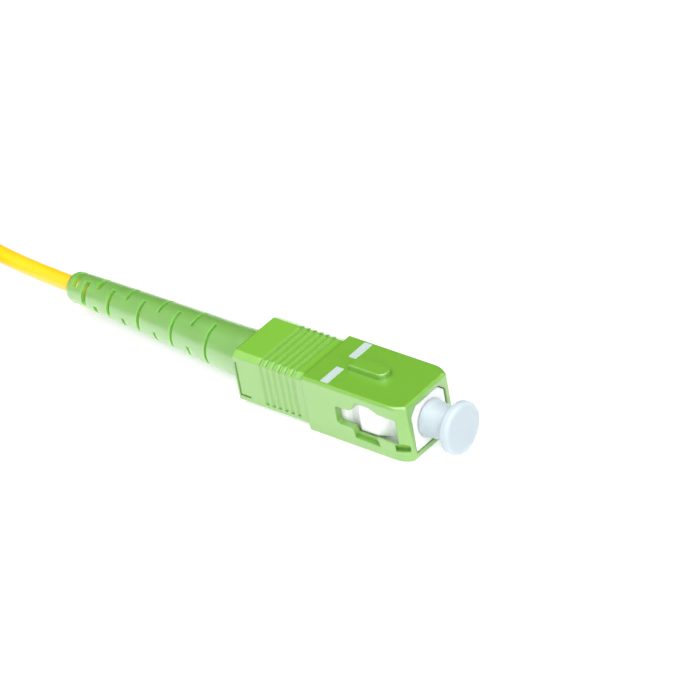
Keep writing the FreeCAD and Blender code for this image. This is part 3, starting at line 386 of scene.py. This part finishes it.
def moulded(name, rgb, rough=0.36, grain=5200.0, depth=2.2e-6, soft=0.00012, edge_add=0.05, flow=(60.0, 260.0, 260.0), spread=0.05,
            painted_recess_tone=None, reach=0.0012, painted_top_light_x=None):
    """Injection-moulded plastic: flow-tinted colour, fine spark-eroded grain, light handling scratches, softened
    edges; an optional painted recess tone (painted shade where darker, painted light where paler) and painted light on
    the up-facing top behind a station.
    """
    m = Mat(name)
    flowing = m.noise(1.0, 4.0, 0.6, 0.4, vec=m.scaled(flow))
    mottle = m.noise(1400.0, 3.0, 0.6)
    tone = m.math("ADD", m.math("MULTIPLY", flowing, 0.65), m.math("MULTIPLY", mottle, 0.35))
    col = m.ramp(tone, [(0.25, tint(rgb, 1 - spread)), (0.5, rgb), (0.78, tint(rgb, 1 + spread, 0.004))])
    nrm = m.rounded(soft)
    wear = m.math("MULTIPLY", m.edge(nrm), m.span(m.noise(900.0, 2.0), 0.35, 0.65, 0.35, 1.0))
    col = m.mix(m.math("MULTIPLY", wear, 0.55), col, tint(rgb, 1.12, edge_add))
    if painted_top_light_x is not None:
        # painted light: the up-facing top behind this station made paler
        up = m.t.nodes.new("ShaderNodeSeparateXYZ")
        m.link(m.t.nodes.new("ShaderNodeNewGeometry").outputs["True Normal"], up.inputs[0])
        top_light_mask = m.math("MULTIPLY", m.span(up.outputs["Z"], 0.55, 0.85), m.span(m.axis("X"), painted_top_light_x, painted_top_light_x - 0.0006))
        col = m.mix(m.math("MULTIPLY", top_light_mask, 0.85), col, tint(rgb, 1.20, 0.006))
    # painted recess tone from the piece's own occlusion: painted shade where the tone is darker, painted light where
    # it is paler
    if painted_recess_tone is not None:
        col = m.mix(m.recess(reach), painted_recess_tone, col)
    m.color(col)
    fine = m.noise(grain, 2.0, 0.6)
    scratch = m.noise(1.0, 2.0, 0.7, 0.0, vec=m.scaled((900.0, 9000.0, 9000.0), rot=(0.0, 0.0, 0.22)))
    dull = m.math("ADD", m.span(fine, 0.3, 0.7, -0.05, 0.05), m.span(scratch, 0.62, 0.78, 0.0, 0.10))
    m.rough(m.math("ADD", dull, rough, clamp=True))
    h = m.math("ADD", fine, m.math("MULTIPLY", m.span(scratch, 0.62, 0.78, 0.0, 1.0), -0.25))
    m.normal(m.bump(h, 0.55, depth, nrm))
    return m


# sleeve: glossy green, with painted shade darkening its grooves and pockets and painted light on the up-facing top of
# its rear part
g = moulded("green_plastic", (0.147, 0.380, 0.0205), rough=0.33, soft=0.00028, edge_add=0.05, painted_recess_tone=(0.098, 0.305, 0.0150), reach=0.0010, painted_top_light_x=-0.0072)
g.set(IOR=1.6, Coat_Weight=1.0, Coat_IOR=1.83, Coat_Roughness=0.30)
g.p.inputs["Specular IOR Level"].default_value = 0.6
GREEN = g.m

# boot: a softer, duller elastomer, with painted light making its slots and hollows paler
b = moulded("green_boot", (0.166, 0.392, 0.064), rough=0.44, grain=3800.0, depth=3.5e-6, soft=0.00014, edge_add=0.10, flow=(90.0, 380.0, 380.0),
            painted_recess_tone=(0.275, 0.590, 0.120), reach=0.0010)
b.set(IOR=1.55, Coat_Weight=1.0, Coat_IOR=2.22, Coat_Roughness=0.31, Subsurface_Weight=0.85, Subsurface_Scale=0.0016)
b.p.inputs["Subsurface Radius"].default_value = (0.55, 1.0, 0.30)
BOOT = b.m

w = moulded("white_plastic", (0.905, 0.925, 0.935), rough=0.30, grain=5600.0, soft=0.0001, edge_add=0.03, spread=0.015)
w.set(Subsurface_Weight=0.7, Subsurface_Scale=0.0012, IOR=1.5)
w.p.inputs["Subsurface Radius"].default_value = (1.0, 1.0, 1.0)
WHITE = w.m

# cap: milky translucent polyethylene
c = moulded("cap_plastic", (0.435, 0.500, 0.532), rough=0.40, grain=3000.0, depth=3.0e-6, soft=0.00016, edge_add=0.06, spread=0.03, flow=(500.0, 160.0, 160.0))
c.set(Subsurface_Weight=0.6, Subsurface_Scale=0.0016, IOR=1.5)
c.p.inputs["Subsurface Radius"].default_value = (0.9, 1.0, 1.05)
CAP = c.m

guide = moulded("guide_plastic", (0.70, 0.71, 0.68), rough=0.42, spread=0.03)
GUIDE = guide.m


def jacket(name, rgb, r_core=0.0):
    """Extruded cable jacket: die lines along it, slight waviness, a faint dusting."""
    m = Mat(name)
    long_ = m.noise(260.0, 3.0, 0.5)
    spot = m.noise(2600.0, 3.0, 0.6)
    tone = m.math("ADD", m.math("MULTIPLY", long_, 0.6), m.math("MULTIPLY", spot, 0.4))
    m.color(m.ramp(tone, [(0.28, tint(rgb, 0.93)), (0.52, rgb), (0.80, tint(rgb, 1.05, 0.012))]))
    fine = m.noise(6500.0, 2.0, 0.6)
    m.rough(m.span(fine, 0.3, 0.7, 0.33, 0.45))
    h = m.math("ADD", m.math("MULTIPLY", fine, 0.5), m.math("MULTIPLY", m.noise(900.0, 2.0), 1.4))
    m.normal(m.bump(h, 0.6, 5.0e-6))
    m.set(IOR=1.5, Coat_Weight=0.7, Coat_IOR=1.6, Coat_Roughness=0.28)
    return m.m


YELLOW = jacket("yellow_jacket", (0.95, 0.535, 0.0))
# a paler copy of the same jacket for the stretch inside the boot: painted light in the boot's slots
YELLOW_PAINTED_LIT = jacket("yellow_jacket_painted_lit", (1.0, 0.86, 0.085))


def metal(name, rgb, rough, ring=14000.0, axis="X", spread=0.12, ring_depth=1.6e-6):
    """Turned or drawn metal: fine rings along its axis, small stains and dulled patches."""
    m = Mat(name)
    s = {"X": (ring, 60.0, 60.0), "Y": (60.0, ring, 60.0), "Z": (60.0, 60.0, ring)}[axis]
    rings = m.noise(1.0, 3.0, 0.65, 0.0, vec=m.scaled(s))
    stain = m.noise(1500.0, 4.0, 0.6)
    m.color(m.ramp(m.math("ADD", m.math("MULTIPLY", rings, 0.5), m.math("MULTIPLY", stain, 0.5)),
                   [(0.3, tint(rgb, 1 - spread)), (0.55, rgb), (0.8, tint(rgb, 1 + spread * 0.6))]))
    m.rough(m.math("ADD", m.span(stain, 0.35, 0.7, rough - 0.05, rough + 0.09), m.span(rings, 0.3, 0.7, -0.03, 0.03)))
    m.normal(m.bump(rings, 0.6, ring_depth, m.rounded(0.00006)))
    m.set(Metallic=1.0)
    return m.m


NICKEL = metal("nickel", (0.66, 0.63, 0.57), 0.22)
POST = metal("post_metal", (0.60, 0.59, 0.56), 0.28, ring=11000.0)
SPRING = metal("spring_steel", (0.56, 0.55, 0.54), 0.20, ring=400.0, spread=0.08)

# crimp ring: soft plated metal pressed by a six-sided die, faint flats and witness lines
cr = Mat("crimp_metal")
stain = cr.noise(1300.0, 4.0, 0.6)
ang = cr.math("ARCTAN2", cr.math("SUBTRACT", cr.axis(2), 0.0037), cr.axis(1))
hexa = cr.math("ABSOLUTE", cr.math("SINE", cr.math("MULTIPLY", ang, 3.0)))
mark = cr.span(hexa, 0.0, 0.14, 1.0, 0.0)
rings = cr.noise(1.0, 2.0, 0.6, vec=cr.scaled((9000.0, 50.0, 50.0)))
base = cr.ramp(stain, [(0.3, (0.55, 0.52, 0.47)), (0.6, (0.66, 0.63, 0.58)), (0.85, (0.72, 0.70, 0.66))])
cr.color(cr.mix(cr.math("MULTIPLY", mark, 0.35), base, (0.38, 0.35, 0.31)))
cr.rough(cr.math("ADD", cr.span(stain, 0.3, 0.7, 0.26, 0.40), cr.math("MULTIPLY", mark, 0.12), clamp=True))
cr.normal(cr.bump(cr.math("ADD", rings, cr.math("MULTIPLY", mark, -5.0)), 0.7, 3.0e-6, cr.rounded(0.00008)))
cr.set(Metallic=1.0)
CRIMP = cr.m

# zirconia: dense polished ceramic, faint cloudiness and grinding lines
z = Mat("zirconia")
cloud = z.noise(700.0, 4.0, 0.6)
z.color(z.ramp(cloud, [(0.3, (0.84, 0.83, 0.80)), (0.7, (0.90, 0.895, 0.875))]))
grind = z.noise(1.0, 2.0, 0.6, vec=z.scaled((16000.0, 200.0, 200.0)))
z.rough(z.span(grind, 0.3, 0.7, 0.07, 0.14))
z.normal(z.bump(grind, 0.3, 5.0e-7, z.rounded(0.00005)))
z.set(IOR=2.1, Subsurface_Weight=0.1, Subsurface_Scale=0.0004)
ZIRCONIA = z.m

# aramid yarn: bundled fine filaments lying along the cable
y = Mat("yarn")
strand = y.noise(1.0, 3.0, 0.7, 0.6, vec=y.scaled((350.0, 9000.0, 9000.0)))
y.color(y.ramp(strand, [(0.25, (0.42, 0.27, 0.05)), (0.5, (0.72, 0.52, 0.14)), (0.75, (0.90, 0.74, 0.32))]))
y.rough(y.span(strand, 0.3, 0.7, 0.45, 0.65))
y.normal(y.bump(strand, 1.0, 2.0e-5))
y.set(Anisotropic=0.4, Sheen_Weight=0.3, Sheen_Roughness=0.4)
YARN = y.m

# cut yarn ends, seen at the square-cut end of the cable
yc = Mat("yarn_cut")
dots = yc.voronoi(9000.0)
yc.color(yc.ramp(dots, [(0.1, (0.90, 0.78, 0.42)), (0.5, (0.70, 0.50, 0.16)), (0.9, (0.40, 0.27, 0.08))]))
yc.rough(yc.span(dots, 0.0, 0.6, 0.5, 0.75))
yc.normal(yc.bump(dots, 0.8, 1.5e-5))
YARN_CUT = yc.m

buf = Mat("buffer_plastic")
bn = buf.noise(1800.0, 3.0)
buf.color(buf.ramp(bn, [(0.3, (0.78, 0.78, 0.75)), (0.7, (0.86, 0.86, 0.83))]))
buf.rough(buf.span(bn, 0.3, 0.7, 0.30, 0.42))
buf.normal(buf.bump(buf.noise(7000.0, 2.0), 0.4, 2.0e-6))
BUFFER = buf.m

gl = Mat("fibre_glass")
gn = gl.noise(3000.0, 2.0)
gl.color(gl.ramp(gn, [(0.3, (0.93, 0.96, 0.97)), (0.7, (0.98, 0.99, 1.0))]))
gl.rough(gl.span(gn, 0.3, 0.7, 0.03, 0.07))
gl.set(Transmission_Weight=0.85, IOR=1.46)
GLASS = gl.m

# woven hook-and-loop wrap: ground weave under a low felt of loops
t = Mat("wrap_fabric")
warp = t.math("SINE", t.math("MULTIPLY", t.axis(0), 2 * math.pi / 0.00032))
loops = t.voronoi(4200.0)
fuzz = t.noise(9000.0, 3.0, 0.7, 0.8)
mixv = t.math("ADD", t.math("MULTIPLY", loops, 0.7), t.math("MULTIPLY", fuzz, 0.5))
t.color(t.ramp(mixv, [(0.2, (0.010, 0.011, 0.012)), (0.5, (0.030, 0.031, 0.033)), (0.9, (0.085, 0.087, 0.092))]))
t.rough(t.span(fuzz, 0.3, 0.7, 0.72, 0.92))
t.normal(t.bump(t.math("ADD", mixv, t.math("MULTIPLY", warp, 0.12)), 1.0, 6.0e-5))
t.set(Sheen_Weight=0.5, Sheen_Roughness=0.5)
WRAP = t.m

# pad-printed white bars
pr = Mat("print_white")
speck = pr.noise(4200.0, 3.0, 0.65)
pr.color(pr.ramp(speck, [(0.26, (0.34, 0.44, 0.38)), (0.36, (0.41, 0.50, 0.47)), (0.75, (0.45, 0.53, 0.505))]))
pr.rough(pr.span(speck, 0.3, 0.7, 0.42, 0.55))
pr.normal(pr.bump(pr.noise(6000.0, 2.0), 0.4, 2.0e-6))
PRINT = pr.m

for name, m in (
    ("coupling_sleeve", GREEN), ("boot", BOOT), ("plug_frame", WHITE), ("dust_cap", CAP), ("ferrule", ZIRCONIA),
    ("ferrule_flange", NICKEL), ("optical_fibre", GLASS), ("ferrule_spring", SPRING), ("back_post", POST),
    ("inner_tube", GUIDE), ("aramid_yarn", YARN), ("crimp_ring", CRIMP), ("cable_jacket", YELLOW_PAINTED_LIT),
    ("tight_buffer", BUFFER),
):
    N[name].data.materials.clear()
    N[name].data.materials.append(m)

cu.materials.append(YELLOW)

# ------------------------------------------------------------------ cut end of the cable
bm = bmesh.new()
lathe(bm, end - along * 0.0003, along, [(0.0, 0.0), (0.0, 0.00074), (0.00034, 0.00074), (0.00040, 0.00066), (0.00043, 0.0005), (0.00043, 0.0)], 28)
yarn_end = piece("cut_end_yarn", to_mesh(bm, "cut_end_yarn"), "frame_and_cable", [YARN_CUT])
bm = bmesh.new()
u = along.orthogonal().normalized()
v = along.cross(u)
for k in range(46):
    a = k * 2.399963
    r = 0.00050 + 0.00020 * math.sqrt((k + 0.5) / 46)
    root = end + u * (r * math.cos(a)) + v * (r * math.sin(a))
    out = (u * math.cos(a) + v * math.sin(a))
    tall = 0.00045 + 0.00030 * (0.5 + 0.5 * math.sin(k * 5.3))
    prev = None
    for j in range(4):
        s = j / 3
        ctr = root + along * (tall * s) + out * (0.00016 * s * s * (1 + 0.6 * math.sin(k * 3.1))) + u.cross(out) * 0.0
        rad = 0.000022 * (1 - 0.35 * s)
        ring = [bm.verts.new(ctr + (u * math.cos(2.0944 * q) + v * math.sin(2.0944 * q)) * rad) for q in range(3)]
        if prev:
            for q in range(3):
                bm.faces.new((prev[q], prev[(q + 1) % 3], ring[(q + 1) % 3], ring[q]))
        else:
            bm.faces.new(ring[::-1])
        prev = ring
    bm.faces.new(prev)
tuft = piece("cut_end_filaments", to_mesh(bm, "cut_end_filaments"), "frame_and_cable", [YARN])
bm = bmesh.new()
lathe(bm, end - along * 0.0004, along, [(0.0, 0.0), (0.0, 0.00045), (0.00172, 0.00045), (0.00176, 0.00041), (0.00176, 0.00008), (0.00170, 0.0)], 28)
buffer_end = piece("cut_end_buffer", to_mesh(bm, "cut_end_buffer"), "frame_and_cable", [BUFFER])
bm = bmesh.new()
lathe(bm, end + along * 0.0010, along, [(0.0, 0.0), (0.0, 0.0000625), (0.00100, 0.0000625), (0.00100, 0.0)], 16)
glass_end = piece("cut_end_fibre", to_mesh(bm, "cut_end_fibre"), "frame_and_cable", [GLASS])

# ------------------------------------------------------------------ hook-and-loop wrap round the hank's waist
tie_lo, tie_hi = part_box("cable_tie")
cx = 0.5 * (tie_lo[0] + tie_hi[0])
cy = 0.5 * (tie_lo[1] + tie_hi[1])
half_w = 0.5 * (tie_hi[0] - tie_lo[0])
hy = 0.5 * (tie_hi[1] - tie_lo[1]) - 0.0002
z0, z1 = tie_lo[2] + 0.0002, tie_hi[2] + 0.00015
zc, hz = 0.5 * (z0 + z1), 0.5 * (z1 - z0)
corner = 0.0021


def loop_point(s, grow):
    """A rounded oblong in the YZ plane; s in 0..1 once round from the middle of the top, clockwise seen from +X."""
    a, b, r = hy + grow, hz + grow, corner + grow
    seg = [("l", (0, b), (a - r, b)), ("c", (a - r, b - r), 90, 0), ("l", (a, b - r), (a, -b + r)), ("c", (a - r, -b + r), 0, -90),
           ("l", (a - r, -b), (-a + r, -b)), ("c", (-a + r, -b + r), -90, -180), ("l", (-a, -b + r), (-a, b - r)),
           ("c", (-a + r, b - r), 180, 90), ("l", (-a + r, b), (0, b))]
    lens = []
    for q in seg:
        lens.append(math.hypot(q[2][0] - q[1][0], q[2][1] - q[1][1]) if q[0] == "l" else r * math.pi / 2)
    want = (s % 1.0) * sum(lens)
    for q, L in zip(seg, lens):
        if want <= L or q is seg[-1]:
            f = min(1.0, want / L) if L else 0.0
            if q[0] == "l":
                return Vector((0, q[1][0] + (q[2][0] - q[1][0]) * f, q[1][1] + (q[2][1] - q[1][1]) * f))
            ang = math.radians(q[2] + (q[3] - q[2]) * f)
            return Vector((0, q[1][0] + r * math.cos(ang), q[1][1] + r * math.sin(ang)))
        want -= L


def strap(bm, s0, s1, steps, thick, lift, width):
    """A woven band that follows the loop; lift(s) is its distance out from the loop."""
    cross = []
    for k in range(13):
        f = k / 12
        cross.append((width * (2 * f - 1), 0.5 * thick * (1 - abs(2 * f - 1) ** 6 * 0.55)))
    rows = []
    for i in range(steps + 1):
        s = s0 + (s1 - s0) * i / steps
        lf = lift(s)
        p = loop_point(s, lf)
        d = loop_point(s + 0.002, lf) - loop_point(s - 0.002, lf)
        d.normalize()
        nrm = Vector((0, -d.z, d.y))
        if nrm.dot(p) < 0:
            nrm = -nrm
        wob = 0.00002 * math.sin(i * 2.3)
        ctr = p + Vector((cx, cy, zc))
        top = [bm.verts.new(ctr + Vector((x + wob, 0, 0)) + nrm * h) for x, h in cross]
        bot = [bm.verts.new(ctr + Vector((x + wob, 0, 0)) - nrm * h) for x, h in cross]
        rows.append(top + bot[::-1])
    n = len(rows[0])
    for a, b2 in zip(rows, rows[1:]):
        for k in range(n):
            bm.faces.new((a[k], b2[k], b2[(k + 1) % n], a[(k + 1) % n]))
    bm.faces.new(rows[0])
    bm.faces.new(rows[-1][::-1])


bm = bmesh.new()
strap(bm, -0.015, 1.0, 150, 0.00034, lambda s: 0.0, half_w)
strap(bm, 0.985, 1.26, 46, 0.00034, lambda s: 0.00001 + 0.00038 * min(1.0, max(0.0, (s - 0.985) / 0.03)) + (0.00022 * max(0.0, (s - 1.22) / 0.04) ** 2), half_w * 0.97)
wrap = piece("hank_wrap", to_mesh(bm, "hank_wrap"), "frame_and_cable", [WRAP])
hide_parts("cable_tie")

# ------------------------------------------------------------------ the spring, with closed ends
AXIS_Z = 0.0037
bm = bmesh.new()
mean, wire = 0.00172, 0.0002
x0, x1 = -0.00726, -0.00242
turns, dead = 6.2, 1.0
steps = 300
prev = None
for i in range(steps + 1):
    q = turns * i / steps
    rise = 0.0
    if q < dead:
        rise = 0.00034 * q
    elif q > turns - dead:
        rise = (x1 - x0) - 0.00034 * (turns - q)
    else:
        rise = 0.00034 * dead + (q - dead) / (turns - 2 * dead) * ((x1 - x0) - 0.00068 * dead)
    a = 2 * math.pi * q
    ctr = Vector((x0 + rise, mean * math.cos(a), AXIS_Z + mean * math.sin(a)))
    out = Vector((0, math.cos(a), math.sin(a)))
    slope = ((x1 - x0) / turns) / (2 * math.pi * mean)
    tang = Vector((slope, -math.sin(a), math.cos(a))).normalized()
    side = tang.cross(out).normalized()
    ring = [bm.verts.new(ctr + (out * math.cos(2 * math.pi * k / 12) + side * math.sin(2 * math.pi * k / 12)) * wire) for k in range(12)]
    if prev:
        for k in range(12):
            bm.faces.new((prev[k], ring[k], ring[(k + 1) % 12], prev[(k + 1) % 12]))
    else:
        bm.faces.new(ring[::-1])
    prev = ring
bm.faces.new(prev)
coil = piece("ferrule_spring_coil", to_mesh(bm, "ferrule_spring_coil"), "frame_and_cable", [SPRING])
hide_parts("ferrule_spring")
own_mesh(coil)

# ------------------------------------------------------------------ two printed bars across the sleeve
TOP_Z = 0.0074
for name, ya, yb in (("printed_bar_near", -0.00405, -0.00103), ("printed_bar_far", 0.00103, 0.00405)):
    bm = bmesh.new()
    xa, xb, r = -0.0046, -0.0035, 0.00012
    outline = []
    for qx, qy, a0 in ((xb - r, yb - r, 0), (xa + r, yb - r, 90), (xa + r, ya + r, 180), (xb - r, ya + r, 270)):
        for k in range(6):
            a = math.radians(a0 + 18 * k)
            outline.append((qx + r * math.cos(a), qy + r * math.sin(a)))
    low = [bm.verts.new((x, y_, TOP_Z - 0.00002)) for x, y_ in outline]
    mid = [bm.verts.new((x, y_, TOP_Z + 0.000008)) for x, y_ in outline]
    mx, my = 0.5 * (xa + xb), 0.5 * (ya + yb)
    top = [bm.verts.new((mx + (x - mx) * 0.985, my + (y_ - my) * 0.995, TOP_Z + 0.000014)) for x, y_ in outline]
    k = len(outline)
    for ra, rb in ((low, mid), (mid, top)):
        for i in range(k):
            bm.faces.new((ra[i], ra[(i + 1) % k], rb[(i + 1) % k], rb[i]))
    bm.faces.new(top)
    bm.faces.new(low[::-1])
    piece(name, to_mesh(bm, name), "sleeve", [PRINT], smooth=False)

# ------------------------------------------------------------------ floor and light
bm = bmesh.new()
bmesh.ops.create_grid(bm, x_segments=2, y_segments=2, size=3.0)
me = bpy.data.meshes.new("floor")
bm.to_mesh(me)
bm.free()
floor = bpy.data.objects.new("floor", me)
scene.collection.objects.link(floor)
floor_m = Mat("floor")
floor_m.color(floor_m.ramp(floor_m.noise(3.0), [(0.3, (0.585, 0.588, 0.592)), (0.7, (0.61, 0.612, 0.615))]))
floor_m.set(Roughness=0.9)
floor_m.p.inputs["Specular IOR Level"].default_value = 0.1
floor_m.p.inputs["Emission Color"].default_value = (0.98, 0.99, 1.0, 1.0)
floor_m.p.inputs["Emission Strength"].default_value = 0.58
floor.data.materials.append(floor_m.m)

# a soft studio surround, dim in one quarter of the sky
world = bpy.data.worlds.new("world")
scene.world = world
world.use_nodes = True
wt = world.node_tree
background = wt.nodes["Background"]
coords = wt.nodes.new("ShaderNodeTexCoord")
dot = wt.nodes.new("ShaderNodeVectorMath")
dot.operation = "DOT_PRODUCT"
dot.inputs[1].default_value = (-0.579, 0.582, 0.570)
wt.links.new(coords.outputs["Generated"], dot.inputs[0])
fade = wt.nodes.new("ShaderNodeMapRange")
fade.interpolation_type = "SMOOTHSTEP"
fade.inputs["From Min"].default_value = 0.20
fade.inputs["From Max"].default_value = 0.80
fade.inputs["To Min"].default_value = 0.50
fade.inputs["To Max"].default_value = 0.05
wt.links.new(dot.outputs["Value"], fade.inputs["Value"])
background.inputs["Color"].default_value = (0.93, 0.96, 1.0, 1.0)
wt.links.new(fade.outputs["Result"], background.inputs["Strength"])


def area(name, loc, target, size, energy, color=(1, 1, 1)):
    d = bpy.data.lights.new(name, "AREA")
    d.shape = "RECTANGLE"
    d.size, d.size_y = size
    d.energy = energy
    d.color = color
    o = bpy.data.objects.new(name, d)
    scene.collection.objects.link(o)
    o.location = loc
    o.rotation_euler = (Vector(target) - Vector(loc)).to_track_quat("-Z", "Y").to_euler()
    return o


area("ceiling", (0.24, -0.26, 1.1), (0.08, -0.08, 0), (1.6, 1.6), 28.0)
area("front_fill", (1.02, -0.62, 0.40), (-0.01, 0, 0), (0.9, 0.7), 4.6)
